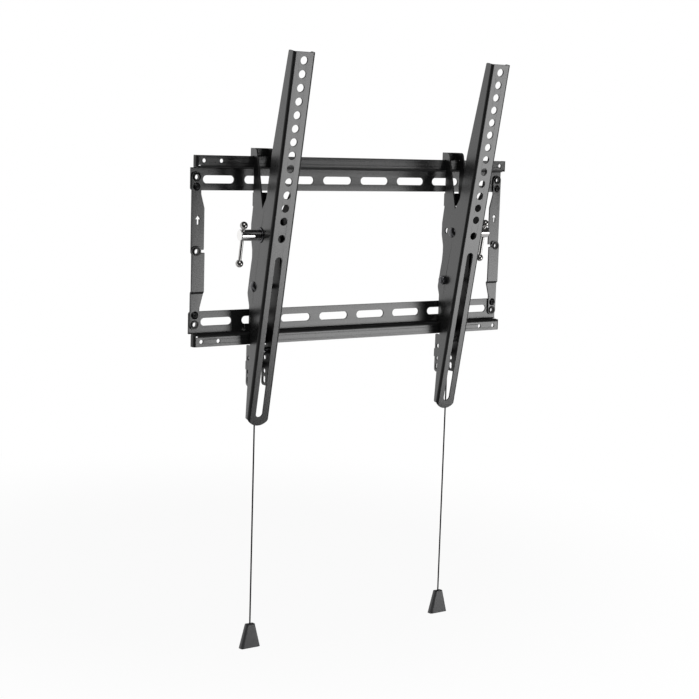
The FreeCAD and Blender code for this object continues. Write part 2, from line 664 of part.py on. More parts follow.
def screen_arm(deep_side):
    """Drilled channel for the screen, drawn upright about its pivot, with one flange deeper above."""
    front = -ARM_SETBACK
    half = ARM_OUTSIDE
    fold = ARM_SHEET + ARM_BEND
    top = HOLE_RISE + ARM_TOP
    end = ARM_END - ARM_TOE_ARC
    depth = FLANGE_PIVOT_LOBE + ARM_SHEET
    section = [
        (-half, depth, 0),
        (-half, front, fold),
        (half, front, fold),
        (half, depth, 0),
        (ARM_INSIDE, depth, 0),
        (ARM_INSIDE, front + ARM_SHEET, ARM_BEND),
        (-ARM_INSIDE, front + ARM_SHEET, ARM_BEND),
        (-ARM_INSIDE, depth, 0),
    ]
    deep = flange_outline(FLANGE_TOP, FLANGE_UPPER, FLANGE_UPPER_RUN, FLANGE_UPPER, FLANGE_NECK_RISE)
    slim = flange_outline(SLIM_FLANGE_TOP, SLIM_FLANGE_UPPER, SLIM_FLANGE_UPPER_RUN, SLIM_FLANGE_NECK,
                          SLIM_FLANGE_NECK_RISE)
    sides = prism_x(deep, deep_side * half, 0).fuse(prism_x(slim, -deep_side * half, 0))
    corners = [FreeCAD.Vector(x, front, ARM_END) for x in (-half, half)]
    arc = Part.Arc(corners[0], FreeCAD.Vector(0, front, end), corners[1])
    chord = Part.LineSegment(corners[1], corners[0])
    tongue = Part.Face(Part.Wire([arc.toShape(), chord.toShape()])).extrude(FreeCAD.Vector(0, fold, 0))
    blank = box((-half, half), (front, depth), (ARM_END, top)).fuse(tongue)
    arm = prism_z(section, end, top).common(sides).common(blank)
    through = (front - PAST, front + fold)
    rises = [HOLE_RISE - number * HOLE_PITCH for number in range(HOLE_COUNT)] + [LAST_HOLE]
    cuts = [rod_y(0, rise, ARM_HOLE, *through) for rise in rises]
    cuts.append(slot_along_z(ARM_SLOT_TOP - ARM_SLOT_LENGTH, ARM_SLOT_TOP, ARM_HOLE, *through))
    for rise in (0, CLAMP_RADIUS):
        cuts.append(rod_x(0, rise, BOLT + 2 * FASTENER_FIT, -half - PAST, half + PAST))
    neck = BOLT / 2 + FASTENER_FIT
    neck_height = (CLAMP_RADIUS - neck, CLAMP_RADIUS + neck)
    cuts.append(box((ARM_INSIDE - PAST, half + PAST), (-neck, neck), neck_height))
    return arm.cut(cuts).removeSplitter()


def friction_washers():
    """Four thin washers between the arm's flanges and the hook's side plates, at pivot and clamp."""
    start = HOOK_WIDTH / 2 + WASHER_GAP
    end = ARM_INSIDE - WASHER_GAP
    washers = []
    for z in (0, CLAMP_RADIUS):
        bore = rod_x(0, z, BOLT + 2 * FASTENER_FIT, start, end)
        ring = rod_x(0, z, FRICTION_WASHER, start, end).cut(bore)
        washers += [ring, mirrored_x(ring)]
    return Part.makeCompound(washers)


def pivot_bolt():
    """Dome-head bolt across arm and hook bracket, with its head on the outer side."""
    head = dome(BOLT_HEAD, BOLT_DOME, FreeCAD.Vector(-ARM_OUTSIDE, 0, 0), FreeCAD.Vector(-1, 0, 0))
    tip = ARM_OUTSIDE + NUT_HEIGHT + NUT_CROWN + PIVOT_TAIL
    return head.fuse(rod_x(0, 0, BOLT, -ARM_OUTSIDE, tip)).removeSplitter()


def pivot_nut():
    """Locking nut: a chamfered hexagon with a round crown for its insert."""
    radius = NUT_FLATS / math.sqrt(3)
    corners = []
    for number in range(6):
        angle = math.radians(60 * number)
        corners.append((radius * math.cos(angle), radius * math.sin(angle), 0))
    hexagon = prism_x(corners, ARM_OUTSIDE, ARM_OUTSIDE + NUT_HEIGHT)
    chamfer = radius - NUT_FLATS / 2
    profile = [
        (0, 0, 0),
        (0, NUT_FLATS / 2, 0),
        (chamfer, radius, 0),
        (NUT_HEIGHT - chamfer, radius, 0),
        (NUT_HEIGHT, NUT_FLATS / 2, 0),
        (NUT_HEIGHT, 0, 0),
    ]
    cone = turned(profile, FreeCAD.Vector(ARM_OUTSIDE, 0, 0), FreeCAD.Vector(1, 0, 0))
    crown_end = ARM_OUTSIDE + NUT_HEIGHT + NUT_CROWN
    crown = rod_x(0, 0, NUT_FLATS - 2 * chamfer, ARM_OUTSIDE + NUT_HEIGHT, crown_end)
    bore = rod_x(0, 0, BOLT + 2 * FASTENER_FIT, ARM_OUTSIDE - PAST, crown_end + PAST)
    return hexagon.common(cone).fuse(crown).cut(bore).removeSplitter()


def clamp_bolt():
    """Carriage bolt through the arc slots, with its dome head and square neck on the inner side."""
    head = dome(BOLT_HEAD, BOLT_DOME, FreeCAD.Vector(ARM_OUTSIDE, 0, CLAMP_RADIUS), FreeCAD.Vector(1, 0, 0))
    half = BOLT / 2
    height = (CLAMP_RADIUS - half, CLAMP_RADIUS + half)
    neck = box((ARM_OUTSIDE - BOLT_NECK, ARM_OUTSIDE), (-half, half), height)
    tip = -(ARM_OUTSIDE + CLAMP_WASHER_SHEET + BARREL_THREAD)
    return head.fuse([neck, rod_x(0, CLAMP_RADIUS, BOLT, tip, ARM_OUTSIDE)]).removeSplitter()


def clamp_washer():
    """Wide thin washer under the clamp barrel."""
    start = -ARM_OUTSIDE - CLAMP_WASHER_SHEET
    disc = rod_x(0, CLAMP_RADIUS, CLAMP_WASHER, start, -ARM_OUTSIDE)
    return disc.cut(rod_x(0, CLAMP_RADIUS, BOLT + 2 * FASTENER_FIT, start - PAST, -ARM_OUTSIDE + PAST))


def clamp_barrel():
    """Round barrel nut with eased ends, a blind thread bore and a cross hole for its bar."""
    root = -(ARM_OUTSIDE + CLAMP_WASHER_SHEET + TURN_GAP)
    radius = BARREL / 2
    profile = [
        (0, 0, 0),
        (0, radius, BARREL_EDGE / 2),
        (BARREL_LENGTH, radius, BARREL_EDGE),
        (BARREL_LENGTH, 0, 0),
    ]
    barrel = turned(profile, FreeCAD.Vector(root, 0, CLAMP_RADIUS), FreeCAD.Vector(-1, 0, 0))
    bore = rod_x(0, CLAMP_RADIUS, BOLT + 2 * TURN_GAP, root + PAST, root - BARREL_THREAD)
    cross = rod_z(BAR_X, 0, BAR + 2 * BAR_FIT, CLAMP_RADIUS - BARREL, CLAMP_RADIUS + BARREL)
    return barrel.cut([bore, cross])


def clamp_bar():
    """Bar that slides through the barrel, with a ball at each end, resting on its upper ball."""
    upper = CLAMP_RADIUS + BALL_UP
    lower = CLAMP_RADIUS - BALL_UP - BAR_TRAVEL
    balls = [Part.makeSphere(BALL / 2, FreeCAD.Vector(BAR_X, 0, z)) for z in (upper, lower)]
    return rod_z(BAR_X, 0, BAR, lower, upper).fuse(balls).removeSplitter()


def latch_lever():
    """Flat hook that turns on its pin and reaches up behind the lower lip, with a hole for the cord pin."""
    nose_front = -LIP_BACK + LATCH_PLAY
    nose_back = nose_front + LATCH_NOSE
    nose_top = -LIP_EDGE + LATCH_BITE
    under = -LIP_EDGE - LATCH_UNDER
    front = -LATCH_STANDOFF - LATCH_BOSS
    low = LATCH_Z - LATCH_BOSS
    side = [
        (front, LATCH_Z + LATCH_BOSS, LATCH_BOSS),
        (nose_front, under, LATCH_ROUND / 2),
        (nose_front, nose_top, LATCH_ROUND),
        (nose_front + LATCH_NOSE / 2, nose_top, LATCH_ROUND),
        (nose_back, nose_top - LATCH_NOSE / 2, LATCH_ROUND),
        (nose_back, low + LATCH_BOSS / 2, LATCH_NOSE),
        (-LATCH_STANDOFF + LATCH_BOSS, low, LATCH_NOSE),
        (front, low, LATCH_BOSS),
    ]
    plate = prism_x(side, -LATCH_PLATE / 2, LATCH_PLATE / 2)
    bore = rod_x(-LATCH_STANDOFF, LATCH_Z, LATCH_PIN + 2 * PIVOT_FIT, -LATCH_PLATE, LATCH_PLATE)
    eye = rod_x(-CORD_STANDOFF, CORD_EYE_Z, CORD_PIN + 2 * FASTENER_FIT, -LATCH_PLATE, LATCH_PLATE)
    return plate.cut([bore, eye])


def latch_pin():
    """Pin across the hook bracket, flush with its side plates, that the latch turns on."""
    return rod_x(-LATCH_STANDOFF, LATCH_Z, LATCH_PIN, -HOOK_WIDTH / 2, HOOK_WIDTH / 2)


def latch_sleeves():
    """Two sleeves on the latch pin that keep the lever at the bracket's middle."""
    start = LATCH_PLATE / 2 + SLEEVE_GAP
    end = HOOK_INSIDE - SLEEVE_GAP
    sleeve = rod_x(-LATCH_STANDOFF, LATCH_Z, LATCH_SLEEVE, start, end)
    bore = rod_x(-LATCH_STANDOFF, LATCH_Z, LATCH_PIN + 2 * FASTENER_FIT, start - PAST, end + PAST)
    sleeve = sleeve.cut(bore)
    return Part.makeCompound([sleeve, mirrored_x(sleeve)])


def latch_spring():
    """Torsion spring round the inner sleeve: one leg back along the lever, one down the side plate."""
    radius = LATCH_SLEEVE / 2 + SPRING_GAP + SPRING_WIRE / 2
    start = LATCH_PLATE / 2 + SPRING_GAP + SPRING_WIRE / 2
    end = HOOK_INSIDE - SPRING_GAP - SPRING_WIRE / 2
    length = end - start
    pitch = length / SPRING_TURNS
    helix = Part.makeHelix(pitch, length, radius, 0, True)
    tangent = FreeCAD.Vector(0, -2 * math.pi * radius, pitch)
    section = Part.Wire(Part.makeCircle(SPRING_WIRE / 2, FreeCAD.Vector(radius, 0, 0), tangent))
    coil = Part.Wire(helix.Edges).makePipeShell([section], True, True)
    coil.Placement = FreeCAD.Placement(
        FreeCAD.Vector(start, -LATCH_STANDOFF, LATCH_Z), FreeCAD.Rotation(FreeCAD.Vector(0, 1, 0), 90))
    back = -LATCH_STANDOFF + radius
    legs = [
        rod_y(start, LATCH_Z - radius, SPRING_WIRE, -LATCH_STANDOFF, -LATCH_STANDOFF + SPRING_LEG),
        rod_z(end, back, SPRING_WIRE, LATCH_Z, LATCH_Z - SPRING_LEG),
    ]
    return Part.makeCompound([coil] + legs)


def cord_pin():
    """Headed pin through the lever that the cord's loop hangs on."""
    outer = -CORD_OFFSET - CORD_LOOP_WIDTH / 2 - SLEEVE_GAP
    shank = rod_x(-CORD_STANDOFF, CORD_EYE_Z, CORD_PIN, outer, LATCH_PLATE / 2)
    head = rod_x(-CORD_STANDOFF, CORD_EYE_Z, CORD_PIN_HEAD, outer - CORD_PIN / 2, outer)
    return shank.fuse(head).removeSplitter()


def cord_loop():
    """Crimped loop at the cord's upper end, free to turn on the cord pin."""
    radius = CORD_LOOP / 2
    bottom = CORD_EYE_Z - CORD_LOOP_TAIL
    start = -CORD_OFFSET - CORD_LOOP_WIDTH / 2
    end = -CORD_OFFSET + CORD_LOOP_WIDTH / 2
    depth = (-CORD_STANDOFF - radius / 2, -CORD_STANDOFF + radius / 2)
    tail = box((start, end), depth, (bottom, CORD_EYE_Z))
    ring = rod_x(-CORD_STANDOFF, CORD_EYE_Z, CORD_LOOP, start, end).fuse(tail)
    bore = rod_x(-CORD_STANDOFF, CORD_EYE_Z, CORD_PIN + 2 * PIVOT_FIT, start - PAST, end + PAST)
    return ring.cut(bore).removeSplitter()


def pull_cord():
    """Straight hanging cord from the loop, through the grip, to the knot."""
    return rod_z(-CORD_OFFSET, -CORD_STANDOFF, CORD, CORD_TOP - CORD_LENGTH, CORD_TOP)


def grip_section(width, depth, z):
    """Rounded rectangle across the grip at a height."""
    half = width / 2
    side = depth / 2
    corner = GRIP_CORNER * side
    corners = [(-half, -side, corner), (half, -side, corner), (half, side, corner), (-half, side, corner)]
    return outline(corners, lambda p: FreeCAD.Vector(p.x - CORD_OFFSET, p.y - CORD_STANDOFF, z))


def cord_grip():
    """Tapered pull, wider than deep, with a bore for the cord and a hollow below for its knot."""
    floor = CORD_TOP - CORD_LENGTH
    bottom = floor + KNOT / 2 - GRIP_RECESS_DEPTH
    top = bottom + GRIP_HEIGHT
    body = Part.makeLoft([grip_section(GRIP_WIDTH, GRIP_DEPTH, bottom),
                          grip_section(GRIP_TOP_WIDTH, GRIP_TOP_DEPTH, top)], True)
    bore = rod_z(-CORD_OFFSET, -CORD_STANDOFF, CORD + 2 * GRIP_BORE_FIT, bottom - PAST, top + PAST)
    hollow = rod_z(-CORD_OFFSET, -CORD_STANDOFF, GRIP_RECESS, bottom - PAST, bottom + GRIP_RECESS_DEPTH)
    return body.cut([bore, hollow]).removeSplitter()


def cord_knot():
    """Knot at the cord's lower end, under the shoulder of the grip's hollow."""
    centre = CORD_TOP - CORD_LENGTH
    knot = Part.makeSphere(KNOT / 2, FreeCAD.Vector(-CORD_OFFSET, -CORD_STANDOFF, centre))
    return knot.cut(rod_z(-CORD_OFFSET, -CORD_STANDOFF, CORD, centre, centre + KNOT))


def tilted(shape):
    """Copy of an upright arm piece, leaned forward about the pivot and set on it."""
    copy = shape.copy()
    copy.rotate(FreeCAD.Vector(0, 0, 0), FreeCAD.Vector(1, 0, 0), TILT_FORWARD)
    copy.translate(PIVOT)
    return copy


def wall_plate_pieces():
    rail = top_rail()
    upper = upper_link()
    lower = lower_link()
    return {
        "top_rail": rail,
        "bottom_rail": mirrored_z(rail),
        "left_upper_link": upper,
        "left_lower_link": lower,
        "right_upper_link": mirrored_x(upper),
        "right_lower_link": mirrored_x(lower),
        "rail_rivets": rail_rivets(),
        "link_eyelets": link_eyelets(),
    }


def arm_pieces(deep_side):
    """One arm's pieces about X = 0, outer side towards -X, with the deeper flange on the given side."""
    return {
        "hook_bracket": hook_bracket(),
        "screen_arm": tilted(screen_arm(deep_side)),
        "friction_washers": tilted(friction_washers()),
        "pivot_bolt": tilted(pivot_bolt()),
        "pivot_nut": tilted(pivot_nut()),
        "clamp_bolt": tilted(clamp_bolt()),
        "clamp_washer": tilted(clamp_washer()),
        "clamp_barrel": tilted(clamp_barrel()),
        "clamp_bar": tilted(clamp_bar()),
        "latch_lever": latch_lever(),
        "latch_pin": latch_pin(),
        "latch_sleeves": latch_sleeves(),
        "latch_spring": latch_spring(),
        "cord_pin": cord_pin(),
        "cord_loop": cord_loop(),
        "pull_cord": pull_cord(),
        "cord_grip": cord_grip(),
        "cord_knot": cord_knot(),
    }


def main():
    os.makedirs("parts", exist_ok=True)
    pieces = wall_plate_pieces()
    for name, shape in arm_pieces(-1).items():
        shape.translate(FreeCAD.Vector(-ARM_SPREAD, 0, 0))
        pieces["left_" + name] = shape
    for name, shape in arm_pieces(1).items():
        shape.translate(FreeCAD.Vector(-ARM_SPREAD, 0, 0))
        pieces["right_" + name] = mirrored_x(shape)
    for name, shape in pieces.items():
        if not shape.isValid():
            raise ValueError(name + " is not a valid solid")
        shape.exportStep(os.path.join("parts", name + ".step"))
        print(name, len(shape.Solids), "solids", round(shape.Volume), "mm3")


if __name__ == "__main__":
    main()
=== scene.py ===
import json
import math

import bpy
from mathutils import Matrix, Vector
from mathutils.bvhtree import BVHTree

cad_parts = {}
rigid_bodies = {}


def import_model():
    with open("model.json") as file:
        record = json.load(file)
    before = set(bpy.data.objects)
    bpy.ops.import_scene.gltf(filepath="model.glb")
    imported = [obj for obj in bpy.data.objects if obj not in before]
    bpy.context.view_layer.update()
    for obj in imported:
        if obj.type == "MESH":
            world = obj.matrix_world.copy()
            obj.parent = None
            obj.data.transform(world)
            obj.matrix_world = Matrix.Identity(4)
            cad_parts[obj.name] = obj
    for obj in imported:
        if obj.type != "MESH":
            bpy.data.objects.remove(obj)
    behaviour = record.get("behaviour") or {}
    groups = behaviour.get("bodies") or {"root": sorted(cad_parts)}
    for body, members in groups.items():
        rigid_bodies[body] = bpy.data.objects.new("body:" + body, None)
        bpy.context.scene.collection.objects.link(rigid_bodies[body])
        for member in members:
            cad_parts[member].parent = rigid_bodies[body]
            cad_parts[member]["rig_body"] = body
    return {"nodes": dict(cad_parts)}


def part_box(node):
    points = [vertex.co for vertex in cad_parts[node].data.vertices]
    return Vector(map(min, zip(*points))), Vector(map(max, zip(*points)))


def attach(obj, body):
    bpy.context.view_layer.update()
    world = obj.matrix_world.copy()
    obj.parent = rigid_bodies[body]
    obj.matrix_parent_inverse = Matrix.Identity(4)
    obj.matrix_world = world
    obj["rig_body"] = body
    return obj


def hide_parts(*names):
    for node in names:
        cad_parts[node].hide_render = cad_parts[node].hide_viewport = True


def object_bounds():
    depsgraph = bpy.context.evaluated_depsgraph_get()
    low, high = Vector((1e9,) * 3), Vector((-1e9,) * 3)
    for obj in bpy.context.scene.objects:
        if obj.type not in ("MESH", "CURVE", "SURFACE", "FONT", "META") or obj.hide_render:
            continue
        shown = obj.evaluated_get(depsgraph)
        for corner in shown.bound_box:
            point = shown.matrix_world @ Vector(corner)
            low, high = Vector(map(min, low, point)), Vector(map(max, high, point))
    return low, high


bl_info = {
    "name": "Tilting screen wall mount",
    "version": (1, 0, 0),
    "blender": (4, 5, 0),
    "location": "View3D > Sidebar > Wall Mount",
    "description": "Finishes the solids of a tilting screen mount and sets up its studio",
    "category": "Object",
}

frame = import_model()
CAD_BOX = [list(corner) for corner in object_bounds()]

# Rolled edges and the coat round them
EDGE_MASK = "rolled_edge"
EDGE_STRIP = 1
EDGE_SEGMENTS = 2
WELD_DISTANCE = 2e-6
SHARP_ANGLE = math.radians(40)
SMOOTH_ANGLE = math.radians(35)
FLAT_FACE_WEIGHT = 100
STANDOFF_SHARE = 0.6
# Reach, depth and share that pick the faces given painted shade: insides, cut edges and bends
INSIDE_REACH = 0.07
CUT_EDGE_DEPTH = 0.005
BEND_SHARE = 0.02
DIRECTION_STEPS = 40

# Cords and their knots
CORD_FULLNESS = 1.15
CORD_RINGS = 6
CORD_STEPS = 24
BRAID_SCALE = 260.0
BRAID_SLANT = math.radians(45)
KNOT_POINTS = 24
KNOT_STRAND = 0.13
KNOT_RINGS = 3
KNOT_STEPS = 8
KNOT_VOXELS = 4

# Studio
FRAME_PIXELS = 699
SENSOR_WIDTH = 36.0
VIEW_REACH = 50.0
BACKDROP_SIDE = (-0.52, 0.85, 0.0)
BACKDROP_EDGES = (0.45, 0.85)
SIDE_WALL = (0.8, 0.6, 0.0)
SIDE_WALL_EDGES = (0.55, 0.9)
FLOOR_SIZE = (12.0, 6.4)
FLOOR_MIDDLE = 2.85
FLOOR_TONE = (0.86, 0.86, 0.86)
FLOOR_ROUGHNESS = 0.8
FLOOR_MIRROR_EDGES = (0.2, 1.0)
SHADOW_PLACE = (0.15, 0.55)
SHADOW_EDGES = (0.3, 0.9)
SHADOW_WHITENESS = 0.92
KEY_PLACE = (-0.6, -1.9, 1.7)
KEY_SIZE = (1.6, 1.6)
FRONT_PLACE = (1.32, -1.56, -0.53)
FRONT_SIZE = (1.45, 1.06)
FRONT_ROLL = math.radians(6)
WHITE = (1.0, 1.0, 1.0)
MIRRORED_RAYS = ("Is Glossy Ray", "Is Transmission Ray")
SEEN_RAYS = ("Is Camera Ray",)

SIDES = ("left", "right")


def on_both_sides(*names):
    """Node names of pieces that each side of the mount has."""
    return [f"{side}_{name}" for side in SIDES for name in names]


# Nodes by finish
SHEET_NODES = ["top_rail", "bottom_rail"]
SHEET_NODES += on_both_sides("upper_link", "lower_link", "hook_bracket", "screen_arm")
RIVET_NODES = ["rail_rivets", "link_eyelets"]
ZINC_NODES = on_both_sides("pivot_bolt", "pivot_nut", "clamp_bolt", "clamp_washer")
BARREL_NODES = on_both_sides("clamp_barrel")
BAR_NODES = on_both_sides("clamp_bar")
LATCH_NODES = on_both_sides("latch_lever", "latch_pin", "cord_pin")
SPRING_NODES = on_both_sides("latch_spring")
NYLON_NODES = on_both_sides("latch_sleeves", "friction_washers")


class FinishSettings(bpy.types.PropertyGroup):
    """Colours and surface sizes of the mount's finishes."""

    coat_color: bpy.props.FloatVectorProperty(
        name="Coat colour", description="Satin black powder coat",
        subtype="COLOR", size=3, min=0, max=1, default=(0.007, 0.007, 0.0072))
    coat_roughness: bpy.props.FloatProperty(
        name="Coat roughness", description="How wide the coat's highlights spread",
        default=0.28, min=0, max=1)
    edge_radius: bpy.props.FloatProperty(
        name="Edge radius", description="Rolled edge of the coated sheet",
        subtype="DISTANCE", unit="LENGTH", default=0.0003, min=0.00005, max=0.001)
    hardware_edge: bpy.props.FloatProperty(
        name="Hardware edge", description="Eased edge of bolts, nuts, washers and the handle",
        subtype="DISTANCE", unit="LENGTH", default=0.00025, min=0.00005, max=0.001)
    grip_edge: bpy.props.FloatProperty(
        name="Grip edge", description="Rounded edge of the moulded grips",
        subtype="DISTANCE", unit="LENGTH", default=0.0009, min=0.0001, max=0.001)
    chrome_color: bpy.props.FloatVectorProperty(
        name="Chrome colour", description="Plated barrel of the handle",
        subtype="COLOR", size=3, min=0, max=1, default=(0.90, 0.89, 0.88))
    # Chrome of the bar and its balls made darker: painted shade standing in for the dark reflections the bar
    # shows
    shaded_bar_color: bpy.props.FloatVectorProperty(
        name="Shaded bar colour", description="Darker plating of the handle's bar and its balls",
        subtype="COLOR", size=3, min=0, max=1, default=(0.52, 0.51, 0.50))
    zinc_color: bpy.props.FloatVectorProperty(
        name="Zinc colour", description="Black zinc plate of the bolts, nuts and latches",
        subtype="COLOR", size=3, min=0, max=1, default=(0.11, 0.11, 0.115))
    cord_color: bpy.props.FloatVectorProperty(
        name="Cord colour", description="Braided pull cord",
        subtype="COLOR", size=3, min=0, max=1, default=(0.008, 0.008, 0.008))
    grip_color: bpy.props.FloatVectorProperty(
        name="Grip colour", description="Moulded grip on each cord",
        subtype="COLOR", size=3, min=0, max=1, default=(0.035, 0.035, 0.037))
    nylon_color: bpy.props.FloatVectorProperty(
        name="Nylon colour", description="Thin washers and latch sleeves",
        subtype="COLOR", size=3, min=0, max=1, default=(0.05, 0.05, 0.05))


class StageSettings(bpy.types.PropertyGroup):
    """Camera, floor and lights of the studio."""

    azimuth: bpy.props.FloatProperty(
        name="Azimuth", description="Turn of the view from straight on",
        subtype="ANGLE", default=math.radians(34.02))
    elevation: bpy.props.FloatProperty(
        name="Elevation", description="How far the view looks down",
        subtype="ANGLE", default=math.radians(8.17))
    roll: bpy.props.FloatProperty(
        name="Roll", description="Turn of the picture about the line of view",
        subtype="ANGLE", default=math.radians(1.79))
    position: bpy.props.FloatVectorProperty(
        name="Camera position", description="Where the camera stands",
        subtype="XYZ", unit="LENGTH", size=3, default=(-1.01358, -1.50052, 0.13609))
    focal_pixels: bpy.props.FloatProperty(
        name="Focal length", description="Focal length in pixels of the square picture",
        default=1500.0)
    floor_drop: bpy.props.FloatProperty(
        name="Floor drop", description="Floor below the lowest grip",
        subtype="DISTANCE", unit="LENGTH", default=0.08)
    key_power: bpy.props.FloatProperty(
        name="Key power", description="Large soft light over the camera",
        subtype="POWER", unit="POWER", default=14.0)
    front_power: bpy.props.FloatProperty(
        name="Front power", description="Low soft light that the arms' faces mirror",
        subtype="POWER", unit="POWER", default=14.2)
    fill_strength: bpy.props.FloatProperty(
        name="Fill strength", description="Even light from all round",
        default=0.45, min=0, max=2)
    room_strength: bpy.props.FloatProperty(
        name="Room strength", description="How bright glossy faces see the room on the camera's side",
        default=0.03, min=0, max=1)
    wall_strength: bpy.props.FloatProperty(
        name="Wall strength", description="How bright glossy faces see the wall on the right and behind",
        default=0.4, min=0, max=1)


def settings():
    """The finish settings of this scene."""
    return bpy.context.scene.mount_finish


def deselect_all():
    """Leaves edit mode and selects nothing."""
    if bpy.context.mode != "OBJECT":
        bpy.ops.object.mode_set(mode="OBJECT")
    bpy.ops.object.select_all(action="DESELECT")


def make_active(piece):
    """Selects one piece alone, for the operators that follow."""
    deselect_all()
    piece.select_set(True)
    bpy.context.view_layer.objects.active = piece


def paint(piece, material):
    """Puts one material over a whole piece."""
    piece.data.materials.clear()
    piece.data.materials.append(material)


def stand_for(piece, node):
    """Lets a piece take the place of a solid and ride with that solid's body."""
    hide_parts(node)
    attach(piece, frame["nodes"][node]["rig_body"])


# Rolled edges
def eased_copy(node, piece_name, width):
    """A copy of a solid whose sharp edges are rolled over, standing for that solid."""
    source = frame["nodes"][node]
    piece = bpy.data.objects.new(piece_name, source.data.copy())
    bpy.context.scene.collection.objects.link(piece)
    make_active(piece)
    bpy.ops.object.mode_set(mode="EDIT")
    bpy.ops.mesh.select_all(action="SELECT")
    bpy.ops.mesh.remove_doubles(threshold=WELD_DISTANCE)
    bpy.ops.object.mode_set(mode="OBJECT")
    piece.data.materials.clear()
    while len(piece.data.materials) <= EDGE_STRIP:
        piece.data.materials.append(None)
    bevel = piece.modifiers.new("Rolled edge", "BEVEL")
    bevel.width = width
    bevel.segments = EDGE_SEGMENTS
    bevel.limit_method = "ANGLE"
    bevel.angle_limit = SHARP_ANGLE
    bevel.use_clamp_overlap = False
    bevel.material = EDGE_STRIP
    bpy.ops.object.modifier_apply(modifier=bevel.name)
    mark_edges(piece.data)
    settle(piece.data, source.data, STANDOFF_SHARE * width)
    bpy.ops.object.shade_smooth_by_angle(angle=SMOOTH_ANGLE)
    level = piece.modifiers.new("Flat faces stay flat", "WEIGHTED_NORMAL")
    level.keep_sharp = True
    level.weight = FLAT_FACE_WEIGHT
    bpy.ops.object.modifier_apply(modifier=level.name)
    stand_for(piece, node)
    return piece


def mark_edges(mesh):
    """Writes the edge mask: one along the middle of each rolled edge, and zero where flat faces begin."""
    crest = [1.0] * len(mesh.vertices)
    for face in mesh.polygons:
        if face.material_index != EDGE_STRIP:
            for vertex in face.vertices:
                crest[vertex] = 0.0
        face.material_index = 0
    mask = mesh.attributes.new(EDGE_MASK, "FLOAT", "POINT")
    mask.data.foreach_set("value", crest)


def surface_of(solid):
    """Search tree of a solid's surface."""
    points = [vertex.co for vertex in solid.vertices]
    return BVHTree.FromPolygons(points, [list(face.vertices) for face in solid.polygons])


def settle(mesh, solid, reach):
    """Sets points that stand off the solid by more than a rolled edge can back onto its surface."""
    surface = surface_of(solid)
    for vertex in mesh.vertices:
        place, normal, face, distance = surface.find_nearest(vertex.co)
        if distance > reach:
            vertex.co = place


def direction_key(face):
    """Rounded direction of a face, the same for all faces of one flat side."""
    return tuple(round(part * DIRECTION_STEPS) for part in face.normal)


def paint_shade_on_coat(piece, node, material):
    """Gives bends, cut edges and faces that look at their own solid a duller, less shiny copy of the coat:
    painted shade in the bends, hole walls and insides.
    """
    surface = surface_of(frame["nodes"][node].data)
    mesh = piece.data
    # Slot of the duller copy of the coat, which paints shade on the faces picked below
    thin = len(mesh.materials)
    mesh.materials.append(material)
    crest = mesh.attributes[EDGE_MASK].data
    facing = {}
    for face in mesh.polygons:
        key = direction_key(face)
        facing[key] = facing.get(key, 0.0) + face.area
    least = BEND_SHARE * sum(facing.values())
    gap = settings().edge_radius
    for face in mesh.polygons:
        if any(crest[vertex].value > 0 for vertex in face.vertices):
            continue
        ahead = surface.ray_cast(face.center + face.normal * gap, face.normal, INSIDE_REACH)
        behind = surface.ray_cast(face.center - face.normal * gap, -face.normal, CUT_EDGE_DEPTH)
        bent = facing[direction_key(face)] < least
        if bent or ahead[0] is not None or behind[0] is None:
            face.material_index = thin


# Shared shader groups
def new_group(name, inputs, outputs):
    """Shader group with named value sockets, and its entry and exit nodes."""
    group = bpy.data.node_groups.new(name, "ShaderNodeTree")
    for label, value in inputs.items():
        socket = group.interface.new_socket(name=label, in_out="INPUT", socket_type="NodeSocketFloat")
        socket.default_value = value
    for label in outputs:
        group.interface.new_socket(name=label, in_out="OUTPUT", socket_type="NodeSocketFloat")
    return group, group.nodes.new("NodeGroupInput"), group.nodes.new("NodeGroupOutput")


def object_noise(group, scale, detail):
    """Noise over the piece's own coordinates, with its scale from a socket."""
    place = group.nodes.new("ShaderNodeTexCoord")
    noise = group.nodes.new("ShaderNodeTexNoise")
    noise.inputs["Detail"].default_value = detail
    group.links.new(place.outputs["Object"], noise.inputs["Vector"])
    group.links.new(scale, noise.inputs["Scale"])
    return noise.outputs["Fac"]


def mottle_group():
    """Slow drift of tone with a fine even grain."""
    name = "Mottle and grain"
    found = bpy.data.node_groups.get(name)
    if found:
        return found
    group, entry, leave = new_group(name, {"Drift scale": 30.0, "Grain scale": 1200.0}, ("Drift", "Grain"))
    drift = object_noise(group, entry.outputs["Drift scale"], detail=4)
    grain = object_noise(group, entry.outputs["Grain scale"], detail=2)
    group.links.new(drift, leave.inputs["Drift"])
    group.links.new(grain, leave.inputs["Grain"])
    return group


def edge_wear_and_glint_group():
    """Mask of the rolled edges, broken up by noise, where a finish is paler: partly wear, partly painted
    glints and sheen.
    """
    name = "Edge wear and painted glints"
    found = bpy.data.node_groups.get(name)
    if found:
        return found
    group, entry, leave = new_group(name, {"Patch scale": 60.0}, ("Mask",))
    edge = group.nodes.new("ShaderNodeAttribute")
    edge.attribute_name = EDGE_MASK
    patch = object_noise(group, entry.outputs["Patch scale"], detail=3)
    both = group.nodes.new("ShaderNodeMath")
    both.operation = "MULTIPLY"
    group.links.new(edge.outputs["Fac"], both.inputs[0])
    group.links.new(patch, both.inputs[1])
    group.links.new(both.outputs["Value"], leave.inputs["Mask"])
    return group


# Finishes
def scaled(color, factor):
    """A lighter or darker strength of a colour."""
    return [min(1.0, channel * factor) for channel in color]


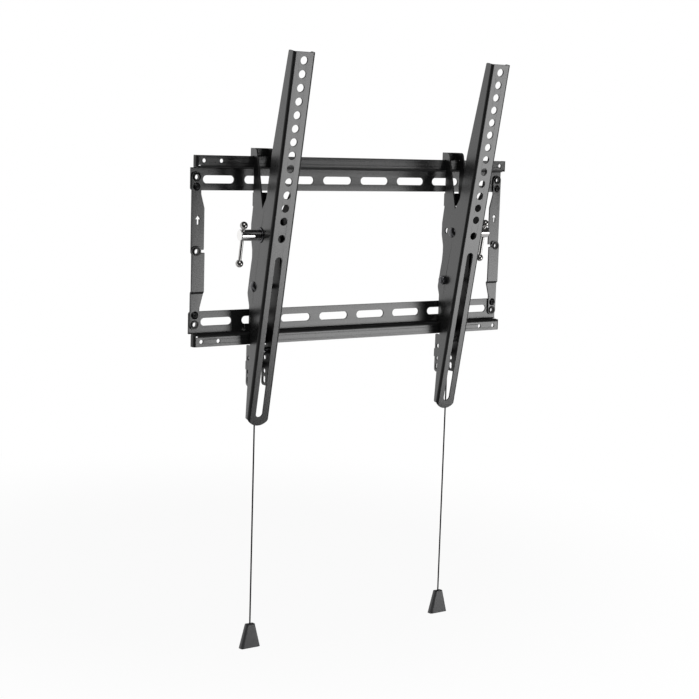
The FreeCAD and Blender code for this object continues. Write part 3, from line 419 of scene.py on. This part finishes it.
class Finish:
    """A material with a Principled shader, a mottle group and the links that most finishes share."""

    def __init__(self, name, drift_scale, grain_scale):
        self.material = bpy.data.materials.new(name)
        self.material.use_nodes = True
        self.nodes = self.material.node_tree.nodes
        self.links = self.material.node_tree.links
        self.shader = self.nodes["Principled BSDF"]
        self.mottle = self.place(mottle_group(), {"Drift scale": drift_scale, "Grain scale": grain_scale})

    def place(self, group, values):
        """Puts a shared group into the material with its own values."""
        node = self.nodes.new("ShaderNodeGroup")
        node.node_tree = group
        for name, value in values.items():
            node.inputs[name].default_value = value
        return node

    def plain(self, socket, value):
        """Sets one of the shader's own sockets to a constant."""
        self.shader.inputs[socket].default_value = value

    def blend(self, mask, color, low, high):
        """Two strengths of one colour, mixed by a mask."""
        mix = self.nodes.new("ShaderNodeMix")
        mix.data_type = "RGBA"
        mix.inputs["A"].default_value = (*scaled(color, low), 1)
        mix.inputs["B"].default_value = (*scaled(color, high), 1)
        self.links.new(mask, mix.inputs["Factor"])
        return mix

    def tint(self, color, low, high):
        """Base colour that drifts between two strengths."""
        return self.blend(self.mottle.outputs["Drift"], color, low, high)

    def wear_and_glint(self, base, wear_and_glint_tone, patch_scale):
        """Lays a paler tone over a base colour along rolled edges: wear, and painted glints where edges
        would catch the light.
        """
        mask = self.place(edge_wear_and_glint_group(), {"Patch scale": patch_scale})
        mix = self.nodes.new("ShaderNodeMix")
        mix.data_type = "RGBA"
        mix.inputs["B"].default_value = (*wear_and_glint_tone, 1)
        self.links.new(mask.outputs["Mask"], mix.inputs["Factor"])
        self.links.new(base.outputs["Result"], mix.inputs["A"])
        return mix

    def color(self, mix):
        """Feeds a mix to the base colour."""
        self.links.new(mix.outputs["Result"], self.shader.inputs["Base Color"])

    def gloss(self, low, high, source="Grain"):
        """Roughness that varies between two values over the surface."""
        span = self.nodes.new("ShaderNodeMapRange")
        span.inputs["To Min"].default_value = low
        span.inputs["To Max"].default_value = high
        self.links.new(self.mottle.outputs[source], span.inputs["Value"])
        self.links.new(span.outputs["Result"], self.shader.inputs["Roughness"])

    def relief(self, height, depth, strength):
        """Bump from a height output."""
        bump = self.nodes.new("ShaderNodeBump")
        bump.inputs["Distance"].default_value = depth
        bump.inputs["Strength"].default_value = strength
        self.links.new(height, bump.inputs["Height"])
        self.links.new(bump.outputs["Normal"], self.shader.inputs["Normal"])

    def grain(self, depth, strength):
        """Fine relief from the mottle group's grain."""
        self.relief(self.mottle.outputs["Grain"], depth, strength)


def powder_coat(name, dullness, shine):
    """Black powder coat: fine orange peel, slow drift of tone, and slightly paler rolled edges, partly wear
    and partly painted sheen.
    """
    color = settings().coat_color
    roughness = settings().coat_roughness + dullness
    finish = Finish(name, drift_scale=22.0, grain_scale=1400.0)
    base = finish.tint(color, low=0.88, high=1.15)
    # Paler rolled edges: wear, and painted sheen along the coat's edges
    finish.color(finish.wear_and_glint(base, scaled(color, 1.8), patch_scale=70.0))
    finish.gloss(low=roughness - 0.05, high=roughness + 0.06)
    finish.grain(depth=0.00005, strength=0.25)
    finish.plain("Specular IOR Level", shine)
    finish.plain("IOR", 1.58)
    return finish.material


def rivet_black():
    """Glossy black of the rivets and eyelets, with much paler rims that are mostly painted highlights,
    partly wear.
    """
    color = settings().coat_color
    finish = Finish("Black rivet finish", drift_scale=90.0, grain_scale=2600.0)
    base = finish.tint(color, low=0.25, high=0.5)
    # Much paler rims: painted highlights on the rivets' and eyelets' edges, partly wear
    finish.color(finish.wear_and_glint(base, scaled(color, 14.0), patch_scale=160.0))
    finish.gloss(low=0.06, high=0.12)
    finish.grain(depth=0.00003, strength=0.2)
    finish.plain("Specular IOR Level", 0.25)
    return finish.material


def polished_plate(name, color):
    """Polished plating with a faint haze of handling."""
    finish = Finish(name, drift_scale=120.0, grain_scale=900.0)
    finish.color(finish.tint(color, low=0.94, high=1.06))
    finish.gloss(low=0.03, high=0.08, source="Drift")
    finish.plain("Metallic", 1.0)
    return finish.material


def zinc_plate():
    """Black zinc plating with paler edges, partly wear down to bare plate and partly painted glints, shared
    by the hardware and the latches.
    """
    name = "Black zinc plate"
    found = bpy.data.materials.get(name)
    if found:
        return found
    color = settings().zinc_color
    finish = Finish(name, drift_scale=150.0, grain_scale=1800.0)
    base = finish.tint(color, low=0.8, high=1.2)
    # Paler edges: painted glints on the bolts' and washers' edges, partly wear
    finish.color(finish.wear_and_glint(base, scaled(color, 4.5), patch_scale=200.0))
    finish.gloss(low=0.16, high=0.3)
    finish.grain(depth=0.00002, strength=0.25)
    finish.plain("Metallic", 1.0)
    return finish.material


def dark_nylon():
    """Dull dark nylon of the thin washers and sleeves."""
    finish = Finish("Dark nylon", drift_scale=80.0, grain_scale=1500.0)
    finish.color(finish.tint(settings().nylon_color, low=0.8, high=1.25))
    finish.gloss(low=0.4, high=0.55)
    finish.grain(depth=0.00004, strength=0.3)
    return finish.material


def moulded_grip():
    """Fine spark-eroded texture of a moulded black grip."""
    color = settings().grip_color
    finish = Finish("Moulded grip", drift_scale=60.0, grain_scale=2200.0)
    base = finish.tint(color, low=0.85, high=1.2)
    finish.color(finish.wear_and_glint(base, scaled(color, 2.0), patch_scale=120.0))
    finish.gloss(low=0.32, high=0.46)
    finish.grain(depth=0.00006, strength=0.35)
    finish.plain("Specular IOR Level", 0.8)
    return finish.material


def braided_cord():
    """Two sets of strands that cross on the slant, from the piece's own coordinates."""
    finish = Finish("Braided cord", drift_scale=400.0, grain_scale=4000.0)
    place = finish.nodes.new("ShaderNodeTexCoord")
    braid = finish.nodes.new("ShaderNodeMath")
    braid.operation = "MAXIMUM"
    for slant, strands in zip((BRAID_SLANT, -BRAID_SLANT), braid.inputs):
        turn = finish.nodes.new("ShaderNodeMapping")
        turn.inputs["Rotation"].default_value = (0, slant, 0)
        wave = finish.nodes.new("ShaderNodeTexWave")
        wave.inputs["Scale"].default_value = BRAID_SCALE
        finish.links.new(place.outputs["Object"], turn.inputs["Vector"])
        finish.links.new(turn.outputs["Vector"], wave.inputs["Vector"])
        finish.links.new(wave.outputs["Fac"], strands)
    crossing = braid.outputs["Value"]
    finish.color(finish.blend(crossing, settings().cord_color, low=0.6, high=1.3))
    finish.gloss(low=0.7, high=0.9)
    finish.relief(crossing, depth=0.00012, strength=0.5)
    finish.plain("Specular IOR Level", 0.25)
    return finish.material


# Pieces
class MOUNT_OT_sheet_metal(bpy.types.Operator):
    """Coat the rails, links, hook brackets and arms, with their sheet edges rolled over and painted shade in
    their bends, cut edges and insides
    """

    bl_idname = "mount.sheet_metal"
    bl_label = "Sheet metal"

    def execute(self, context):
        coat = powder_coat("Satin black powder coat", dullness=0.0, shine=1.0)
        # Duller, less shiny copy of the coat: painted shade for bends, cut edges and insides
        shaded_coat = powder_coat("Powder coat with painted shade", dullness=0.15, shine=0.35)
        for node in SHEET_NODES:
            sheet = eased_copy(node, node + "_coated", settings().edge_radius)
            paint(sheet, coat)
            paint_shade_on_coat(sheet, node, shaded_coat)
        return {"FINISHED"}


class MOUNT_OT_hardware(bpy.types.Operator):
    """Finish the rivets, eyelets, bolts, nuts and washers"""

    bl_idname = "mount.hardware"
    bl_label = "Hardware"

    def execute(self, context):
        black = rivet_black()
        zinc = zinc_plate()
        for node in RIVET_NODES:
            paint(eased_copy(node, node + "_finished", settings().hardware_edge), black)
        for node in ZINC_NODES:
            paint(eased_copy(node, node + "_finished", settings().hardware_edge), zinc)
        return {"FINISHED"}


class MOUNT_OT_clamp_handles(bpy.types.Operator):
    """Polish the clamp barrels and their sliding bars"""

    bl_idname = "mount.clamp_handles"
    bl_label = "Clamp handles"

    def execute(self, context):
        chrome = polished_plate("Polished chrome", settings().chrome_color)
        # The bar's darker plate is painted shade on the same chrome as the barrel
        shaded_chrome = polished_plate("Chrome bar with painted shade", settings().shaded_bar_color)
        for nodes, plate in ((BARREL_NODES, chrome), (BAR_NODES, shaded_chrome)):
            for node in nodes:
                paint(eased_copy(node, node + "_polished", settings().hardware_edge), plate)
        return {"FINISHED"}


class MOUNT_OT_latches(bpy.types.Operator):
    """Finish the latch levers, pins, springs, sleeves and washers inside the brackets"""

    bl_idname = "mount.latches"
    bl_label = "Latches"

    def execute(self, context):
        zinc = zinc_plate()
        nylon = dark_nylon()
        for node in LATCH_NODES:
            paint(eased_copy(node, node + "_finished", settings().hardware_edge), zinc)
        for node in SPRING_NODES:
            paint(frame["nodes"][node], zinc)
        for node in NYLON_NODES:
            paint(frame["nodes"][node], nylon)
        return {"FINISHED"}


def strand(name, places, radius, rings, steps, closed):
    """Round strand along a smooth line of places, either a closed loop or with capped ends."""
    curve = bpy.data.curves.new(name, "CURVE")
    curve.dimensions = "3D"
    curve.bevel_depth = radius
    curve.bevel_resolution = rings
    curve.resolution_u = steps
    curve.use_fill_caps = not closed
    spline = curve.splines.new("NURBS")
    spline.points.add(len(places) - 1)
    for point, place in zip(spline.points, places):
        point.co = (*place, 1)
    spline.order_u = 3
    spline.use_cyclic_u = closed
    spline.use_endpoint_u = not closed
    piece = bpy.data.objects.new(name, curve)
    bpy.context.scene.collection.objects.link(piece)
    return piece


class MOUNT_OT_pull_cords(bpy.types.Operator):
    """Hang a braided cord with its loop, knot and grip from each latch"""

    bl_idname = "mount.pull_cords"
    bl_label = "Pull cords"

    def execute(self, context):
        braid = braided_cord()
        plastic = moulded_grip()
        for side in SIDES:
            low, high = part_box(f"{side}_pull_cord")
            thickness = CORD_FULLNESS * (high.x - low.x)
            middle = (low + high) / 2
            top = Vector((middle.x, middle.y, high.z))
            bottom = Vector((middle.x, middle.y, low.z))
            cord = strand(f"{side}_braided_cord", (top, middle, bottom), thickness / 2,
                          CORD_RINGS, CORD_STEPS, closed=False)
            # A curve that is painted after the next operators loses its measured box, so it is painted here
            paint(cord, braid)
            stand_for(cord, f"{side}_pull_cord")
            grip = eased_copy(f"{side}_cord_grip", f"{side}_moulded_grip", settings().grip_edge)
            paint(grip, plastic)
            loop = eased_copy(f"{side}_cord_loop", f"{side}_crimped_loop", settings().hardware_edge)
            paint(loop, braid)
            knot = self.tied_knot(side)
            paint(knot, braid)
        return {"FINISHED"}

    def tied_knot(self, side):
        """Stopper knot under the grip's shoulder: a strand that crosses itself three times, pulled tight."""
        low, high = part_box(f"{side}_cord_knot")
        centre = (low + high) / 2
        radius = KNOT_STRAND * (high.x - low.x)
        spread = ((high.x - low.x) / 2 - radius) / 3
        lift = (high.z - low.z) / 2 - radius
        places = []
        for number in range(KNOT_POINTS):
            turn = 2 * math.pi * number / KNOT_POINTS
            places.append(centre + Vector((
                spread * (math.sin(turn) + 2 * math.sin(2 * turn)),
                spread * (math.cos(turn) - 2 * math.cos(2 * turn)),
                -lift * math.sin(3 * turn))))
        make_active(strand(f"{side}_tied_knot", places, radius, KNOT_RINGS, KNOT_STEPS, closed=True))
        bpy.ops.object.convert(target="MESH")
        knot = bpy.context.object
        tight = knot.modifiers.new("Pulled tight", "REMESH")
        tight.mode = "VOXEL"
        tight.voxel_size = radius / KNOT_VOXELS
        bpy.ops.object.modifier_apply(modifier=tight.name)
        bpy.ops.object.shade_smooth()
        stand_for(knot, f"{side}_cord_knot")
        return knot


# Studio nodes
def larger(tree, first, second):
    """The larger of two outputs."""
    pick = tree.nodes.new("ShaderNodeMath")
    pick.operation = "MAXIMUM"
    tree.links.new(first, pick.inputs[0])
    tree.links.new(second, pick.inputs[1])
    return pick.outputs["Value"]


def ray_mask(tree, names):
    """Value that is one for the named kinds of ray and zero for the rest."""
    path = tree.nodes.new("ShaderNodeLightPath")
    mask = path.outputs[names[0]]
    for name in names[1:]:
        mask = larger(tree, mask, path.outputs[name])
    return mask


def measured_ramp(tree, coordinates, operation, other, edges, low, high):
    """Measures the place against another vector and climbs smoothly from low to high between two edges."""
    place = tree.nodes.new("ShaderNodeTexCoord")
    measure = tree.nodes.new("ShaderNodeVectorMath")
    measure.operation = operation
    measure.inputs[1].default_value = other
    ramp = tree.nodes.new("ShaderNodeMapRange")
    ramp.interpolation_type = "SMOOTHSTEP"
    labels = ("From Min", "From Max", "To Min", "To Max")
    for label, value in zip(labels, (*edges, low, high)):
        ramp.inputs[label].default_value = value
    tree.links.new(place.outputs[coordinates], measure.inputs[0])
    tree.links.new(measure.outputs["Value"], ramp.inputs["Value"])
    return ramp.outputs["Result"]


def blend_value(tree, mask, low, high):
    """Mixes two values, each a number or an output, by a mask."""
    mix = tree.nodes.new("ShaderNodeMix")
    tree.links.new(mask, mix.inputs["Factor"])
    for socket, value in ((mix.inputs["A"], low), (mix.inputs["B"], high)):
        if isinstance(value, float):
            socket.default_value = value
        else:
            tree.links.new(value, socket)
    return mix.outputs["Result"]


class MOUNT_OT_studio(bpy.types.Operator):
    """Set up the pale floor, the soft lights and the camera"""

    bl_idname = "mount.studio"
    bl_label = "Studio"

    def execute(self, context):
        scene = context.scene
        stage = scene.mount_stage
        scene.view_settings.view_transform = "Standard"
        self.world(scene, stage)
        self.floor(stage)
        self.softbox(scene, "Key softbox", KEY_PLACE, KEY_SIZE, 0.0, stage.key_power)
        self.softbox(scene, "Front softbox", FRONT_PLACE, FRONT_SIZE, FRONT_ROLL, stage.front_power)
        self.camera(scene, stage)
        return {"FINISHED"}

    def world(self, scene, stage):
        """White backdrop behind the mount, a grey wall on its right, a dim room in front, and even fill."""
        world = bpy.data.worlds.new("Studio")
        scene.world = world
        world.use_nodes = True
        tree = world.node_tree
        background = tree.nodes["Background"]
        background.inputs["Color"].default_value = (*WHITE, 1)
        backdrop = measured_ramp(
            tree, "Generated", "DOT_PRODUCT", BACKDROP_SIDE, BACKDROP_EDGES, stage.room_strength, 1.0)
        wall = measured_ramp(
            tree, "Generated", "DOT_PRODUCT", SIDE_WALL, SIDE_WALL_EDGES, 0.0, stage.wall_strength)
        room = larger(tree, backdrop, wall)
        mirrored = blend_value(tree, ray_mask(tree, MIRRORED_RAYS), stage.fill_strength, room)
        strength = blend_value(tree, ray_mask(tree, SEEN_RAYS), mirrored, 1.0)
        tree.links.new(strength, background.inputs["Strength"])

    def floor(self, stage):
        """Pale floor under and behind the mount, white to what mirrors its far part."""
        deselect_all()
        level = CAD_BOX[0][2] - stage.floor_drop
        bpy.ops.mesh.primitive_plane_add(size=1.0, location=(0, FLOOR_MIDDLE, level))
        floor = bpy.context.object
        floor.name = "studio_floor"
        floor.scale = (*FLOOR_SIZE, 1.0)
        bpy.ops.object.transform_apply(location=True, rotation=True, scale=True)
        floor.data.materials.append(self.pale_floor(level))

    def pale_floor(self, level):
        """Floor that the camera sees white, and a little less so where the mount's shadow falls."""
        material = bpy.data.materials.new("Pale floor")
        material.use_nodes = True
        tree = material.node_tree
        shader = tree.nodes["Principled BSDF"]
        shader.inputs["Base Color"].default_value = (*FLOOR_TONE, 1)
        shader.inputs["Roughness"].default_value = FLOOR_ROUGHNESS
        glow = tree.nodes.new("ShaderNodeEmission")
        glow.inputs["Color"].default_value = (*WHITE, 1)
        far = measured_ramp(tree, "Object", "DOT_PRODUCT", BACKDROP_SIDE, FLOOR_MIRROR_EDGES, 0.0, 1.0)
        clear = measured_ramp(
            tree, "Object", "DISTANCE", (*SHADOW_PLACE, level), SHADOW_EDGES, SHADOW_WHITENESS, 1.0)
        mirrored = blend_value(tree, ray_mask(tree, MIRRORED_RAYS), 0.0, far)
        whiteness = blend_value(tree, ray_mask(tree, SEEN_RAYS), mirrored, clear)
        mix = tree.nodes.new("ShaderNodeMixShader")
        tree.links.new(whiteness, mix.inputs["Fac"])
        tree.links.new(shader.outputs["BSDF"], mix.inputs[1])
        tree.links.new(glow.outputs["Emission"], mix.inputs[2])
        tree.links.new(mix.outputs["Shader"], tree.nodes["Material Output"].inputs["Surface"])
        return material

    def softbox(self, scene, name, place, size, roll, power):
        """Soft light aimed at the mount, rolled about its own line of sight."""
        light = bpy.data.lights.new(name, "AREA")
        light.shape = "RECTANGLE"
        light.size, light.size_y = size
        light.energy = power
        lamp = bpy.data.objects.new(name, light)
        lamp.location = place
        aim = (-Vector(place)).to_track_quat("-Z", "Y").to_matrix()
        lamp.rotation_euler = (aim @ Matrix.Rotation(roll, 3, "Z")).to_euler()
        scene.collection.objects.link(lamp)

    def camera(self, scene, stage):
        """Camera at its place, turned by azimuth, elevation and roll."""
        data = bpy.data.cameras.new("Camera")
        data.sensor_width = SENSOR_WIDTH
        data.lens = SENSOR_WIDTH * stage.focal_pixels / FRAME_PIXELS
        data.clip_end = VIEW_REACH
        ahead = Vector((
            math.sin(stage.azimuth) * math.cos(stage.elevation),
            math.cos(stage.azimuth) * math.cos(stage.elevation),
            -math.sin(stage.elevation)))
        level = Vector((math.cos(stage.azimuth), -math.sin(stage.azimuth), 0))
        rise = level.cross(ahead)
        right = math.cos(stage.roll) * level + math.sin(stage.roll) * rise
        up = math.cos(stage.roll) * rise - math.sin(stage.roll) * level
        turn = Matrix((right, up, -ahead)).transposed()
        camera = bpy.data.objects.new("Camera", data)
        camera.matrix_world = Matrix.Translation(Vector(stage.position)) @ turn.to_4x4()
        scene.collection.objects.link(camera)
        scene.camera = camera


class MOUNT_PT_panel(bpy.types.Panel):
    """Lists the mount's finishes and steps"""

    bl_label = "Wall Mount"
    bl_idname = "MOUNT_PT_panel"
    bl_space_type = "VIEW_3D"
    bl_region_type = "UI"
    bl_category = "Wall Mount"

    def draw(self, context):
        for group in (context.scene.mount_finish, context.scene.mount_stage):
            column = self.layout.column(align=True)
            for name in group.__annotations__:
                column.prop(group, name)
        for operator in STEPS:
            self.layout.operator(operator.bl_idname)


STEPS = (
    MOUNT_OT_sheet_metal,
    MOUNT_OT_hardware,
    MOUNT_OT_clamp_handles,
    MOUNT_OT_latches,
    MOUNT_OT_pull_cords,
    MOUNT_OT_studio,
)
CLASSES = (FinishSettings, StageSettings) + STEPS + (MOUNT_PT_panel,)


def register():
    for item in CLASSES:
        bpy.utils.register_class(item)
    bpy.types.Scene.mount_finish = bpy.props.PointerProperty(type=FinishSettings)
    bpy.types.Scene.mount_stage = bpy.props.PointerProperty(type=StageSettings)


def unregister():
    del bpy.types.Scene.mount_stage
    del bpy.types.Scene.mount_finish
    for item in reversed(CLASSES):
        bpy.utils.unregister_class(item)


def main():
    register()
    bpy.ops.mount.sheet_metal()
    bpy.ops.mount.hardware()
    bpy.ops.mount.clamp_handles()
    bpy.ops.mount.latches()
    bpy.ops.mount.pull_cords()
    bpy.ops.mount.studio()


if __name__ == "__main__":
    main()
